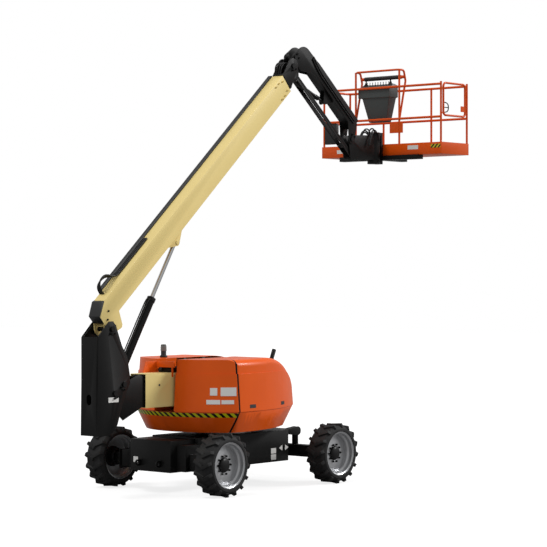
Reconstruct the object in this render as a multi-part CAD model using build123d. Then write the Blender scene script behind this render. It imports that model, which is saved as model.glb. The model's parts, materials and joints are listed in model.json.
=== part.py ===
from build123d import *
import os
from math import atan2, cos, degrees, hypot, pi, radians, sin, sqrt

# Articulating boom lift, in millimetres, +Z up, standing on the floor at Z = 0.
# Inside this file X = 0 is the slew axis, halfway between the axles. +X is the way the boom reaches,
# -Y is the near side. Every piece is moved along X as it is written, so that the finished machine's
# origin is under the middle of its length.

# ---------------------------------------------------------------- driving dimensions
WHEELBASE = 2480
OVERALL_WIDTH = 2490
TYRE_DIAMETER = 895
TYRE_WIDTH = 345
RIM_FLANGE_DIAMETER = 655
RUN_GAP = 6                      # clearance between pieces that move past each other
SEAT = 0.3                       # clearance at a bearing face
PLATE = 12                       # structural plate

SWING_RADIUS = 1290              # plan radius of the turntable at the tower end
DECK_BOTTOM = 860                # underside of the turntable
BAND_TOP = 1150                  # top of the hazard band, where the covers sit
ROOF_Z = 1905                    # top of the covers
SLOT_HALF = 200                  # half width of the slot that the tower boom lies in

TOWER_PIVOT = (800, 1475)        # X and Z of the tower boom's foot pin
TOWER_END_X = -1820              # open end of the tower base boom
TOWER_DEPTH = 480
TOWER_WIDTH = 300
UPRIGHT_PIN = (-2450, 1475)      # pin between the tower fly boom and the upright
REAR_X = -2795                   # rear face of the upright
BOOM_PIN = (-2500, 2370)         # main boom pivot at the top of the upright
BOOM_ANGLE = 41.5                # main boom's elevation as it stands
BOOM_LENGTH = 5302               # from the boom pin to the mouth of the base section
BOOM_WIDTH = 206
BOOM_BOTTOM = 58                 # underside of the boom above its pin, square to the boom
BOOM_TOP = 355
JIB_ANGLE = -40.25               # jib's elevation as it stands
JIB_LENGTH = 1834                # pin to pin
PLATFORM_Z = 5033                # underside of the toe board
PLATFORM_X = 3820                # boom side of the platform
PLATFORM_DEPTH = 750
PLATFORM_WIDTH = 2440
RAIL_TUBE = 38
TOP_RAIL = 1129
MID_RAIL = 590
TOE_BOARD = 187
ROTATOR_X = 3640

# ---------------------------------------------------------------- helpers
C = Align.CENTER
LOW = Align.MIN


def block(x_low, x_high, y_low, y_high, z_low, z_high):
    size = (x_high - x_low, y_high - y_low, z_high - z_low)
    return Pos(x_low, y_low, z_low) * Box(*size, align=(LOW, LOW, LOW))


def side_plate(outline, y_low, y_high):
    """An outline of (x, z) points, extruded across the machine from y_low to y_high."""
    face = Plane((0, y_low, 0), x_dir=(1, 0, 0), z_dir=(0, -1, 0)) * Polygon(*outline, align=None)
    return extrude(face, amount=y_high - y_low, dir=(0, 1, 0))


def lobe_plate(circles, y_low, y_high):
    """The hull round circles of (x, z, radius), extruded from y_low to y_high."""
    rims = [edge for x, z, r in circles for edge in (Pos(x, z) * Circle(r)).edges()]
    face = Plane((0, y_low, 0), x_dir=(1, 0, 0), z_dir=(0, -1, 0)) * make_hull(rims)
    return extrude(face, amount=y_high - y_low, dir=(0, 1, 0))


def bar(start, end, radius):
    """A round bar between two (x, y, z) points."""
    start, end = Vector(*start), Vector(*end)
    run = end - start
    return Plane(origin=start, z_dir=run) * Cylinder(radius, run.length, align=(C, C, LOW))


def pin(x, z, radius, y_low, y_high):
    return bar((x, y_low, z), (x, y_high, z), radius)


def both(make):
    """A piece and its twin on the other side of the machine."""
    return make + mirror(make, Plane.XZ)


def fused(first, *rest):
    for piece in rest:
        first = first + piece
    return first


def at_boom(piece):
    """Place a piece drawn along +X from the boom pin."""
    return Pos(BOOM_PIN[0], 0, BOOM_PIN[1]) * Rot(0, -BOOM_ANGLE, 0) * piece


def boom_point(along, up):
    a = radians(BOOM_ANGLE)
    return (BOOM_PIN[0] + along * cos(a) - up * sin(a), BOOM_PIN[1] + along * sin(a) + up * cos(a))


NODES = {}


def save(name, piece):
    NODES[name] = piece


# ---------------------------------------------------------------- wheels and tyres
AXLE_Z = TYRE_DIAMETER / 2
AXLE_X = WHEELBASE / 2
WHEEL_Y = OVERALL_WIDTH / 2 - TYRE_WIDTH / 2
TYRE_R = TYRE_DIAMETER / 2
FLANGE_R = RIM_FLANGE_DIAMETER / 2
BEAD_R = FLANGE_R - 20
RIM_HALF = TYRE_WIDTH / 2 - 15
HUB_R = 105
HUB_BORE = 60.3
SPINDLE_R = HUB_BORE - SEAT
HUB_INNER = -110                 # inner face of the hub, measured outwards from the wheel's middle


def ring(profile):
    """Turn a closed outline of (radius, outward) points round the wheel's axis."""
    return revolve(Polygon(*profile, align=None), axis=Axis.Y)


FACETS = 32                      # flats round a tyre, one lug on each, near and far sides in turn
LUG_TOP = TYRE_R - 8.4           # flat top of a lug, whose corners reach the full radius
LUG_DEPTH = 24
LUG_SLANT = 24                   # a lug's lean from straight across the tread, in degrees


def frustum(r_start, r_end, y_start, y_end):
    """A band of the tyre with flat sides, from one corner radius and place across it to another."""
    start = Plane((0, y_start, 0), x_dir=(1, 0, 0), z_dir=(0, 1, 0)) * RegularPolygon(r_start, FACETS)
    end = Plane((0, y_end, 0), x_dir=(1, 0, 0), z_dir=(0, 1, 0)) * RegularPolygon(r_end, FACETS)
    return loft([start.face(), end.face()], ruled=True)


def lug(turn, side):
    """One tread bar, from past the middle of the tread out and down over the shoulder."""
    half = TYRE_WIDTH / 2
    root = LUG_TOP - LUG_DEPTH - 8
    crown = [(-18, root), (-12, LUG_TOP), (half - 17, LUG_TOP)]
    shoulder = [(half + 5, root - 24), (half - 19, root - 44)]
    face = Plane.YZ * Polygon(*[(side * y, r) for y, r in crown + shoulder], align=None)
    slanted = Rot(0, 0, -side * LUG_SLANT) * extrude(face, amount=24, both=True)
    return Rot(0, turn, 0) * Pos(side * 24, 0, 0) * slanted


def tyre():
    half = TYRE_WIDTH / 2
    tread = LUG_TOP - LUG_DEPTH
    bore = (FLANGE_R + SEAT) / cos(pi / FACETS)
    shape = frustum(tread, tread, -half + 46, half - 46)
    shape += both(frustum(tread, tread - 46, half - 46, half - 6))
    shape -= frustum(bore, bore, -half - 1, half + 1)
    step = 360 / FACETS
    return shape.fuse(*[lug((i + 0.5) * step, 1 if i % 2 else -1) for i in range(FACETS)])


def rim():
    wall = 8
    outer = [(FLANGE_R, -RIM_HALF), (FLANGE_R, -RIM_HALF + 9), (BEAD_R, -RIM_HALF + 17), (BEAD_R, -100),
             (BEAD_R - 23, -80), (BEAD_R - 23, 60), (BEAD_R, 84), (BEAD_R, RIM_HALF - 17),
             (FLANGE_R, RIM_HALF - 9), (FLANGE_R, RIM_HALF)]
    inner = [(r - wall, o) for r, o in reversed(outer)]
    barrel = ring(outer + inner)
    root = BEAD_R - 23 - wall + 1
    disc = ring([(HUB_R + 4, 28), (200, 28), (root, 6), (root, 18), (204, 40), (HUB_R + 4, 40)])
    return barrel + disc


def hub():
    shape = ring([(0, 82), (70, 80), (96, 66), (HUB_R, 44), (HUB_R, 27.7), (150, 27.7), (150, 4),
                  (124, 0), (124, -90), (112, HUB_INNER), (HUB_BORE, HUB_INNER), (HUB_BORE, -40), (0, -40)])
    return shape


WHEEL_PLACES = [
    ("front_near", AXLE_X, -1), ("front_far", AXLE_X, 1),
    ("rear_near", -AXLE_X, -1), ("rear_far", -AXLE_X, 1),
]
wheel = {"tyre": tyre(), "rim": rim(), "hub": hub()}
for place, x, side in WHEEL_PLACES:
    for kind, piece in wheel.items():
        sided = mirror(piece, Plane.XZ) if side < 0 else piece
        save(f"{kind}_{place}", Pos(x, side * WHEEL_Y, AXLE_Z) * sided)

# ---------------------------------------------------------------- chassis, axles and steering
FRAME_HALF = 450
FRAME_LOW = 318
FRAME_TOP = 780
FRAME_FRONT = AXLE_X - 280       # ends of the chassis box, inside the two axles
FRAME_REAR = -AXLE_X + 180
REAR_FACE = -AXLE_X - 330        # outer face of the fixed axle's housing
AXLE_END = WHEEL_Y - 272.5       # face that the fixed axle's hubs stand out from
KINGPIN_Y = WHEEL_Y - 242.5
SPINDLE_TIP = WHEEL_Y - 60
HUB_FACE_Y = WHEEL_Y + HUB_INNER


def chassis():
    inside = FRAME_HALF - PLATE
    shell = block(FRAME_REAR, FRAME_FRONT, -FRAME_HALF, FRAME_HALF, FRAME_LOW, FRAME_TOP)
    shell -= block(FRAME_REAR + 20, FRAME_FRONT - 20, -inside, inside, FRAME_LOW - 1, FRAME_TOP - 16)
    return shell


def fixed_axle():
    x = -AXLE_X
    beam = block(REAR_FACE, FRAME_REAR, -395, 395, 312, 765)
    beam += block(x - 190, FRAME_REAR, -560, 560, 324, 700)
    beam += both(block(x - 110, x + 110, 560, AXLE_END, 330, 570))
    beam += both(block(x - 150, x + 150, AXLE_END - 14, AXLE_END, AXLE_Z - 150, AXLE_Z + 130))
    beam += both(bar((x, AXLE_END, AXLE_Z), (x, HUB_FACE_Y - RUN_GAP, AXLE_Z), 96))
    beam += both(bar((x, AXLE_END, AXLE_Z), (x, SPINDLE_TIP, AXLE_Z), SPINDLE_R))
    return beam


YOKE_TOP = 585
YOKE_LOW = 310
ARM_TOP = 374                    # upper face of the steering arms, under the tie rod's ends


def steer_axle():
    end = KINGPIN_Y - 130
    beam = block(AXLE_X - 75, AXLE_X + 75, -end, end, 370, 540)
    beam += both(block(AXLE_X - 60, AXLE_X + 60, end - 10, KINGPIN_Y + 45, YOKE_TOP - 30, YOKE_TOP))
    beam += both(block(AXLE_X - 60, AXLE_X + 60, end - 10, KINGPIN_Y + 45, YOKE_LOW, YOKE_LOW + 30))
    beam += both(block(AXLE_X - 60, AXLE_X + 60, end - 10, end + 15, YOKE_LOW, YOKE_TOP))
    beam += both(bar((AXLE_X, KINGPIN_Y, YOKE_LOW), (AXLE_X, KINGPIN_Y, YOKE_TOP + 12), 26))
    beam += bar((FRAME_FRONT + SEAT, 0, 500), (AXLE_X + 110, 0, 500), 55)
    return beam


def steer_knuckle():
    low, top = YOKE_LOW + 30 + RUN_GAP, YOKE_TOP - 30 - RUN_GAP
    body = Pos(AXLE_X, KINGPIN_Y, low) * Cylinder(58, top - low, align=(C, C, LOW))
    body += bar((AXLE_X, KINGPIN_Y, AXLE_Z), (AXLE_X, HUB_FACE_Y - RUN_GAP, AXLE_Z), 84)
    body += bar((AXLE_X, KINGPIN_Y, AXLE_Z), (AXLE_X, SPINDLE_TIP, AXLE_Z), SPINDLE_R)
    body += block(AXLE_X - 190, AXLE_X, KINGPIN_Y - 30, KINGPIN_Y + 30, ARM_TOP - 22, ARM_TOP)
    return body - Pos(AXLE_X, KINGPIN_Y, low - 1) * Cylinder(26 + SEAT, top - low + 2, align=(C, C, LOW))


save("chassis_frame", chassis())
save("fixed_axle", fixed_axle())
save("steer_axle", steer_axle())
save("steer_knuckle_far", steer_knuckle())
save("steer_knuckle_near", mirror(steer_knuckle(), Plane.XZ))
tie_x = AXLE_X - 165
tie_z = ARM_TOP + 18
tie = bar((tie_x, -KINGPIN_Y + 25, tie_z), (tie_x, KINGPIN_Y - 25, tie_z), 16)
tie += both(Pos(tie_x, KINGPIN_Y, ARM_TOP + SEAT) * Cylinder(28, 34, align=(C, C, LOW)))
save("tie_rod", tie)
lockouts = both(bar((AXLE_X + 20, 330, 545), (AXLE_X + 20, 330, 800), 48))
lockouts += block(FRAME_FRONT, AXLE_X + 90, -380, 380, 720, 760)
cradle = [(AXLE_X + 20, 742, 66), (FRAME_FRONT + 50, 742, 40)]
lockouts += both(lobe_plate(cradle, 300, 322) + lobe_plate(cradle, 368, 390))
save("lockout_cylinders", lockouts)
EYE_BORE = 22.5
EYE_X_LOW, EYE_Z_LOW = REAR_FACE - 55, 430
EYE_X_HIGH, EYE_Z_HIGH = AXLE_X + 90 + 50, 740


def tie_down(x, z, toward):
    """A lug with a shackle hole, welded on at the side it points away from."""
    eye = lobe_plate([(x, z, 46), (x - toward * 20, z, 46)], 188, 213)
    eye += block(min(x, x - toward * 50), max(x, x - toward * 50), 188, 213, z - 46, z + 46)
    return eye


eyes = tie_down(EYE_X_LOW, EYE_Z_LOW, -1) & block(-3000, REAR_FACE - SEAT, 0, 400, 0, 1000)
eyes += tie_down(EYE_X_HIGH, EYE_Z_HIGH, 1) & block(AXLE_X + 90 + SEAT, 3000, 0, 400, 0, 1000)
eyes = both(eyes)
for x, z in ((EYE_X_LOW, EYE_Z_LOW), (EYE_X_HIGH, EYE_Z_HIGH)):
    eyes -= pin(x, z, EYE_BORE, -300, 300)
save("tie_down_eyes", eyes)

# ---------------------------------------------------------------- turntable
CORNER_X = -800                  # seam between the corner covers and the hood doors
TAIL_X = 1190
SKIN = 6
ROOF_ROUND = 110                 # radius of the covers' roof edge
SLOT_PLATE = 12                  # side plates of the slot, that carry the tower pin
DOOR_EDGE = SLOT_HALF + RUN_GAP
DECK_TOP = DECK_BOTTOM + 30


def plan(inset=0.0):
    """The turntable's egg-shaped plan: round at the tower end, drawn in towards the tail."""
    corner = (CORNER_X, sqrt(SWING_RADIUS ** 2 - CORNER_X ** 2))
    flank = (100, 935)
    shoulder = (900, 570)
    haunch = (1085, 385)
    tail = (TAIL_X, 120)
    near = lambda point: (point[0], -point[1])
    edges = [
        ThreePointArc(corner, (-SWING_RADIUS, 0), near(corner)),
        ThreePointArc(near(corner), near(flank), near(shoulder)),
        ThreePointArc(near(shoulder), near(haunch), near(tail)),
        Line(near(tail), tail),
        ThreePointArc(tail, haunch, shoulder),
        ThreePointArc(shoulder, flank, corner),
    ]
    face = make_face(edges).face()
    return offset(face, -inset, kind=Kind.INTERSECTION).face() if inset else face


def roof_profile(inset=0.0):
    """Side view of the covers: level, then falling to the tail."""
    z = ROOF_Z - inset
    end = TAIL_X + 30 - inset
    edges = [
        Line((-1400, 800), (-1400, z)),
        Line((-1400, z), (-150, z)),
        ThreePointArc((-150, z), (680 - 0.4 * inset, 1715 - inset), (end, 1160)),
        Line((end, 1160), (end, 800)),
        Line((end, 800), (-1400, 800)),
    ]
    plane = Plane((0, 0, 0), x_dir=(1, 0, 0), z_dir=(0, -1, 0))
    return extrude(plane * make_face(edges), amount=1500, both=True)


def cover_solid(inset=0.0):
    """The covers as one solid, leaning in a little above the band and tapered below it."""
    face = plan(inset)
    upper = extrude(Pos(0, 0, BAND_TOP) * face, amount=ROOF_Z - BAND_TOP + 50, taper=4)
    lower = extrude(Pos(0, 0, BAND_TOP) * face, amount=-(BAND_TOP - DECK_BOTTOM), taper=26)
    solid = (upper + lower) & roof_profile(inset)
    roof_edges = [e for e in solid.edges() if (e @ 0.5).Z > BAND_TOP + 120 and abs((e @ 0.5).Y) > 60]
    return fillet(roof_edges, ROOF_ROUND - inset)


cover = cover_solid()
shell = cover - cover_solid(SKIN)
seam = 4
door = shell & block(CORNER_X + seam, 1400, -1400, -DOOR_EDGE, 800, 2000)
corner_cover = shell & block(-1400, CORNER_X, -1400, -SLOT_HALF, BAND_TOP + SEAT, 2000)
corner_cover += cover & block(-1400, CORNER_X, -DOOR_EDGE, -SLOT_HALF, BAND_TOP + SEAT, 2000)
skirt = shell & block(-1400, CORNER_X, -1400, 1400, 800, BAND_TOP)
skirt += cover & block(-1400, CORNER_X, -1400, 1400, 800, DECK_BOTTOM + 14)
save("hood_door_near", door)
save("hood_door_far", mirror(door, Plane.XZ))
save("corner_cover_near", corner_cover)
save("corner_cover_far", mirror(corner_cover, Plane.XZ))

TX, TZ = TOWER_PIVOT
deck = extrude(Pos(0, 0, DECK_BOTTOM) * plan(150), amount=DECK_TOP - DECK_BOTTOM)
deck &= block(CORNER_X, 1400, -1400, 1400, 800, 1000)
cheeks = block(CORNER_X, TAIL_X - 60, -SLOT_HALF, -SLOT_HALF + SLOT_PLATE, DECK_TOP - 1, 2000)
cheeks &= cover_solid(45)
deck += both(cheeks)
deck += bar((TX, -SLOT_HALF + 2, TZ), (TX, SLOT_HALF - 2, TZ), 45)
HINGE_Y, HINGE_Z = SLOT_HALF + 12, ROOF_Z - 15
hinge_r = ROOF_Z - SKIN - SEAT - HINGE_Z
for x in (-650, -250):
    hinge = bar((x, -HINGE_Y, HINGE_Z), (x + 60, -HINGE_Y, HINGE_Z), hinge_r)
    hinge += Pos(x + 30, -(HINGE_Y + SLOT_HALF - 6) / 2, HINGE_Z - 20) * Rot(30, 0, 0) * Box(60, 8, 42)
    deck += both(hinge)
RING_DEPTH = 39
RING_TOP = FRAME_TOP + RING_DEPTH + 2 * SEAT
deck += Pos(0, 0, RING_TOP) * Cylinder(410, DECK_BOTTOM - RING_TOP + 1, align=(C, C, LOW))
B1X, B1Z = -950, 1020            # foot pin of the tower lift cylinder
ear = lobe_plate([(B1X, B1Z, 48), (B1X - 60, DECK_TOP - 10, 12), (B1X + 130, DECK_TOP - 10, 12)], 54, 66)
foot = both(ear & block(-1400, 1400, 0, 400, DECK_BOTTOM + 10, 1400))
foot += bar((B1X, -70, B1Z), (B1X, 70, B1Z), 26)
control = Rot(0, 0, 137) * block(SWING_RADIUS - 140, SWING_RADIUS + 80, -120, 120, 1230, 1580)
control -= cover_solid(-SEAT)
save("ground_control_box", max(control.solids(), key=lambda piece: piece.volume))
save("turntable_skirt", skirt + foot)
save("turntable_deck", deck)
save("counterweight", block(965, TAIL_X - 30, -180, 180, DECK_TOP + SEAT, 1330))
save("engine_block", block(-400, 400, -640, -240, DECK_TOP + SEAT, 1450))
bearing = Cylinder(420, RING_DEPTH, align=(C, C, LOW)) - Cylinder(320, 3 * RING_DEPTH)
save("slew_ring", Pos(0, 0, FRAME_TOP + SEAT) * bearing)
beacon = Cylinder(55, 30, align=(C, C, LOW)) + Pos(0, 0, 30) * Cylinder(40, 160, align=(C, C, LOW))
save("beacon", Pos(-870, 403, ROOF_Z + SEAT) * beacon)
pipe = bar((1000, -83, 1330 + SEAT), (1000, -83, 1850), 32)
save("exhaust_stack", pipe + bar((1000, -83, 1840), (1060, -83, 1975), 32))

# ---------------------------------------------------------------- tower boom
tb_low, tb_top = TZ - TOWER_DEPTH / 2, TZ + TOWER_DEPTH / 2
half_w = TOWER_WIDTH / 2
base = block(TOWER_END_X, 560, -half_w, half_w, tb_low, tb_top)
base -= block(TOWER_END_X - 1, 561, -half_w + 8, half_w - 8, tb_low + 8, tb_top - 8)
foot_plate = [
    (500, tb_low + 20), (500, tb_top - 20), (TX - 20, TZ + 110),
    (TX + 90, TZ + 60), (TX + 90, TZ - 60), (TX - 20, TZ - 110),
]
base += both(side_plate(foot_plate, 130, 150))
base += both(bar((TX, 130, TZ), (TX, 162, TZ), 90))
base -= bar((TX, -200, TZ), (TX, 200, TZ), 45 + SEAT)
TE = (100, 1160)                 # eye pin of the tower lift cylinder
base += both(lobe_plate([(TE[0], TE[1], 46), (-40, tb_low + 4, 10), (240, tb_low + 4, 10)], 36, 48))
base += both(bar((TE[0], 48, TE[1]), (TE[0], 60, TE[1]), 30))
GUARD_TOP = 1875                 # the guard at the boom's open end: a far side arm, a near post and the bar between them
guard_arm = [
    (-1262, GUARD_TOP), (-1262, tb_top + 5), (-1400, tb_top + 5), (-1480, 1640),
    (-1600, 1480), (-1650, 1500), (-1500, GUARD_TOP),
]
base += block(-1290, -1262, -SLOT_HALF + RUN_GAP, SLOT_HALF - RUN_GAP, GUARD_TOP - 86, GUARD_TOP)
base += side_plate(guard_arm, half_w, half_w + PLATE)
base += block(-1290, -1262, -half_w - PLATE, -half_w, tb_top - 60, GUARD_TOP)
save("tower_base_boom", base)
FLY_D, FLY_W = 400, 240
UX, UZ = UPRIGHT_PIN
fly = block(-1870, 520, -FLY_W / 2, FLY_W / 2, TZ - FLY_D / 2, TZ + FLY_D / 2)
fly -= block(-1871, 521, -FLY_W / 2 + 8, FLY_W / 2 - 8, TZ - FLY_D / 2 + 8, TZ + FLY_D / 2 - 8)
nose_plate = [
    (-1840, 1275), (-1840, 1675), (-1915, 1712), (-2100, 1650), (-2215, 1575),
    (-2265, 1530), (-2320, 1585), (-2450, 1610), (-2530, 1540), (-2545, 1475),
    (-2520, 1400), (-2300, 1130), (-2245, 1082), (-1893, 1236),
]
nose = both(side_plate(nose_plate, 108, 120))
nose += both(bar((UX, 108, UZ), (UX, 144, UZ), 80))
nose -= bar((UX, -200, UZ), (UX, 200, UZ), 40 + SEAT)
save("tower_fly_boom", fly + nose)
pads = both(block(TOWER_END_X + 2, TOWER_END_X + 90, FLY_W / 2 + SEAT, half_w - 8, TZ - 120, TZ + 120))
pads += block(TOWER_END_X + 2, TOWER_END_X + 90, -100, 100, TZ + FLY_D / 2 + SEAT, tb_top - 8)
pads += block(TOWER_END_X + 2, TOWER_END_X + 90, -100, 100, tb_low + 8, TZ - FLY_D / 2 - SEAT)
save("tower_wear_pads", pads)

# ---------------------------------------------------------------- upright
PX, PZ = BOOM_PIN
CX, CZ = -2268, 1590             # foot pin of the main lift cylinder
UPRIGHT_FOOT = 893               # lowest edge of the upright
outline = [
    (REAR_X, UPRIGHT_FOOT), (-2775, 2270), (-2600, 2440), (-2560, 2475), (-2480, 2478),
    (-2421, 2410), (-2306, 2132), (-2200, 1975), (-2149, 1720), (-2149, 1600),
    (-2243, 1440), (-2335, 1200), (-2392, 1040), (-2440, 960), (-2560, UPRIGHT_FOOT),
]
up = both(side_plate(outline, 150, 162))
web = block(REAR_X, REAR_X + PLATE, -150, 150, UPRIGHT_FOOT, 2262)
web -= block(REAR_X - 5, REAR_X + 15, -45, 45, 1364, 1422)
for z in (1364, 1422):
    web -= bar((REAR_X - 5, 0, z), (REAR_X + 15, 0, z), 45)
up += web
up += block(REAR_X, -2575, -150, 150, UPRIGHT_FOOT, UPRIGHT_FOOT + PLATE)
up += both(side_plate([(-2760, 2262), (-2600, 2415), (-2560, 2415), (-2560, 2262)], 138, 150))
up += both(bar((PX, 110, PZ), (PX, 150, PZ), 75))
up += bar((PX, -170, PZ), (PX, 170, PZ), 35)
up += bar((UX, -170, UZ), (UX, 170, UZ), 40)
up += bar((CX, -168, CZ), (CX, 168, CZ), 32)
save("upright", up)

# ---------------------------------------------------------------- main boom and fly boom
half_b = BOOM_WIDTH / 2
WALL = 8
GUSSET = (1880, -44)
tube = block(-23, BOOM_LENGTH, -half_b, half_b, BOOM_BOTTOM, BOOM_TOP)
tube -= side_plate([(-100, 238), (-23, 238), (192, 356), (-100, 400)], -200, 200)
tube += both(lobe_plate([(0, 0, 95), (190, -105, 50), (260, 90, 60), (30, 120, 50)], half_b - PLATE, half_b))
tube += both(lobe_plate([(GUSSET[0], GUSSET[1], 50), (1640, 80, 22), (2120, 80, 22)], 38, 50))
tube += both(bar((GUSSET[0], 50, GUSSET[1]), (GUSSET[0], 60, GUSSET[1]), 30))
tube -= block(-24, BOOM_LENGTH + 1, -half_b + WALL, half_b - WALL, BOOM_BOTTOM + WALL, BOOM_TOP - WALL)
tube -= pin(0, 0, 35 + SEAT, -200, 200)
save("main_boom", at_boom(tube))
cap_room = side_plate([(-23.3, 0), (-23.3, 238.3), (192, 355.3), (400, 355.3), (400, 0)], -200, 200)
cap = side_plate([(-30, 80), (-24, 80), (-24, 240), (190, 357), (150, 372), (-34, 262)], -half_b, half_b)
cap = cap - block(-23.5, 400, -200, 200, 0, 238)
cap = cap - lobe_plate([(0, 0, 99.4), (30, 120, 50)], -200, 200)
save("boom_end_cover", at_boom(cap - cap_room))
track = block(420, BOOM_LENGTH, half_b + SEAT, 178, 290, 372)
save("cable_track", at_boom(track - block(400, BOOM_LENGTH + 100, half_b + 6, 172, 296, 366)))
FB_W, FB_LOW, FB_TOP = 150, 95, 325
NOSE = (5600, 320)
ftube = block(1000, 5360, -FB_W / 2, FB_W / 2, FB_LOW, FB_TOP)
ftube -= block(999, 5361, -FB_W / 2 + WALL, FB_W / 2 - WALL, FB_LOW + WALL, FB_TOP - WALL)
save("fly_boom", at_boom(ftube))
collar = block(BOOM_LENGTH + 10, BOOM_LENGTH + 56, -half_b - 4, half_b + 4, 92, 363)
collar -= block(BOOM_LENGTH, BOOM_LENGTH + 98, -FB_W / 2, FB_W / 2, FB_LOW, FB_TOP)
collar += both(lobe_plate([(NOSE[0], NOSE[1], 115), (5335, 115, 23), (5335, 340, 23)], 95, 107))
collar += both(lobe_plate([(5330, 115, 15), (5330, 340, 15), (5345, 220, 15)], FB_W / 2, 96))
collar += pin(NOSE[0], NOSE[1], 30, -110, 110)
save("fly_nose", at_boom(collar))
pads = both(block(BOOM_LENGTH - 110, BOOM_LENGTH - 10, FB_W / 2 + SEAT, half_b - WALL, 140, 280))
pads += block(BOOM_LENGTH - 110, BOOM_LENGTH - 10, -60, 60, FB_TOP + SEAT, BOOM_TOP - WALL)
pads += block(BOOM_LENGTH - 110, BOOM_LENGTH - 10, -60, 60, BOOM_BOTTOM + WALL, FB_LOW - SEAT)
save("boom_wear_pads", at_boom(pads))

# ---------------------------------------------------------------- main lift cylinder
EX, EZ = boom_point(*GUSSET)


def cylinder_pair(foot, eye, gland, rod_length, barrel_r, rod_r, foot_r, eye_r, foot_pin, width):
    """A hydraulic cylinder's barrel and rod, between two (x, z) pins; gland is measured from the foot pin."""
    lean = degrees(atan2(eye[1] - foot[1], eye[0] - foot[0]))
    length = hypot(eye[0] - foot[0], eye[1] - foot[1])
    cavity = foot_pin + 20
    along = lambda start, end, radius: bar((start, 0, 0), (end, 0, 0), radius)
    barrel = along(foot_r + 14, gland, barrel_r) + along(gland - 60, gland, barrel_r + 7)
    barrel += pin(0, 0, foot_r, -width / 2, width / 2)
    barrel += block(0, foot_r + 16, -width / 2, width / 2, -0.75 * foot_r, 0.75 * foot_r)
    barrel -= pin(0, 0, foot_pin + SEAT, -width, width)
    barrel -= along(cavity, gland + 5, rod_r + SEAT)
    rod = along(length - rod_length, length - eye_r * 0.5, rod_r)
    rod += pin(length, 0, eye_r, -width / 2, width / 2)
    place = Pos(foot[0], 0, foot[1]) * Rot(0, -lean, 0)
    return place * barrel, place * rod


barrel, rod = cylinder_pair((CX, CZ), (EX, EZ), 1400, 1502, 57, 30, 62, 37, 32, 66)
save("main_lift_barrel", barrel)
save("main_lift_rod", rod)

# ---------------------------------------------------------------- tower lift cylinder
barrel, rod = cylinder_pair((B1X, B1Z), TE, 960, 600, 48, 28, 48, 40, 26, 60)
save("tower_lift_barrel", barrel)
save("tower_lift_rod", rod)

# ---------------------------------------------------------------- knuckle, jib and head
NX, NZ = boom_point(*NOSE)
JX, JZ = 1560, 6450
a = radians(JIB_ANGLE)
LINK = (40, -260)                # link pin from the jib pin, and the same again at the head
KX, KZ = JX + JIB_LENGTH * cos(a), JZ + JIB_LENGTH * sin(a)
LX, LZ = JX + LINK[0], JZ + LINK[1]
MX, MZ = KX + LINK[0], KZ + LINK[1]
JB = (JX + 2, JZ - 325)
bracket = both(lobe_plate([(NX, NZ, 70), (JX, JZ, 62), (LX, LZ, 55), (JB[0], JB[1], 45)], 62, 74))
bracket += both(pin(NX, NZ, 56, 74, 89))
bracket -= pin(NX, NZ, 30 + SEAT, -200, 200)
bracket += both(pin(JX, JZ, 28, 60, 91))
bracket += both(pin(LX, LZ, 22, 43, 66))
bracket += pin(JB[0], JB[1], 18, -76, 76)
bracket += block(NX + 30, NX + 70, -63, 63, NZ + 20, NZ + 60)
save("knuckle", bracket)


def at_jib(piece):
    return Pos(JX, 0, JZ) * Rot(0, -JIB_ANGLE, 0) * piece


BOX_LOW, BOX_TOP = 148, 341
jib = both(lobe_plate([(0, 0, 70), (160, 130, 190), (480, 240, 95)], 79.5, 90))
jib += block(450, 1760, -90, 90, BOX_LOW, BOX_TOP)
jib += both(lobe_plate([(JIB_LENGTH, 0, 75), (1600, 190, 40), (1740, 250, 40)], 79.5, 90))
jib -= pin(0, 0, 28 + SEAT, -200, 200)
jib -= pin(JIB_LENGTH, 0, 28 + SEAT, -200, 200)
JE = (1000, 20)
jib += both(lobe_plate([(JE[0], JE[1], 40), (900, 160, 20), (1130, 160, 20)], 38, 48))
jib -= block(449, 1761, -82, 82, BOX_LOW + 8, BOX_TOP - 8)
save("jib_boom", at_jib(jib))
link = both(lobe_plate([(0, 0, 38), (JIB_LENGTH, 0, 38)], 44, 56))
link += block(1560, 1620, -45, 45, -25, 25)
link -= pin(0, 0, 22 + SEAT, -200, 200)
link -= pin(JIB_LENGTH, 0, 22 + SEAT, -200, 200)
save("jib_link", Pos(LX, 0, LZ) * Rot(0, -JIB_ANGLE, 0) * link)
jex, jez = JX + JE[0] * cos(a) - JE[1] * sin(a), JZ + JE[0] * sin(a) + JE[1] * cos(a)
barrel, rod = cylinder_pair(JB, (jex, jez), 694, 680, 30, 18, 38, 32, 18, 66)
save("jib_lift_barrel", barrel)
save("jib_lift_rod", rod)
RX = ROTATOR_X
head = both(lobe_plate([(KX, KZ, 62), (MX, MZ, 60), (RX - 180, 5060, 110), (RX - 180, 5240, 110)], 62, 74))
head += both(pin(KX, KZ, 28, 60, 91))
head += both(pin(MX, MZ, 22, 43, 66))
head += block(RX - 160, RX - 60, -74, 74, 4955, 5345)
head += Pos(RX, 0, 4955) * Cylinder(105, 390, align=(C, C, LOW))
save("rotator_head", head)

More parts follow.
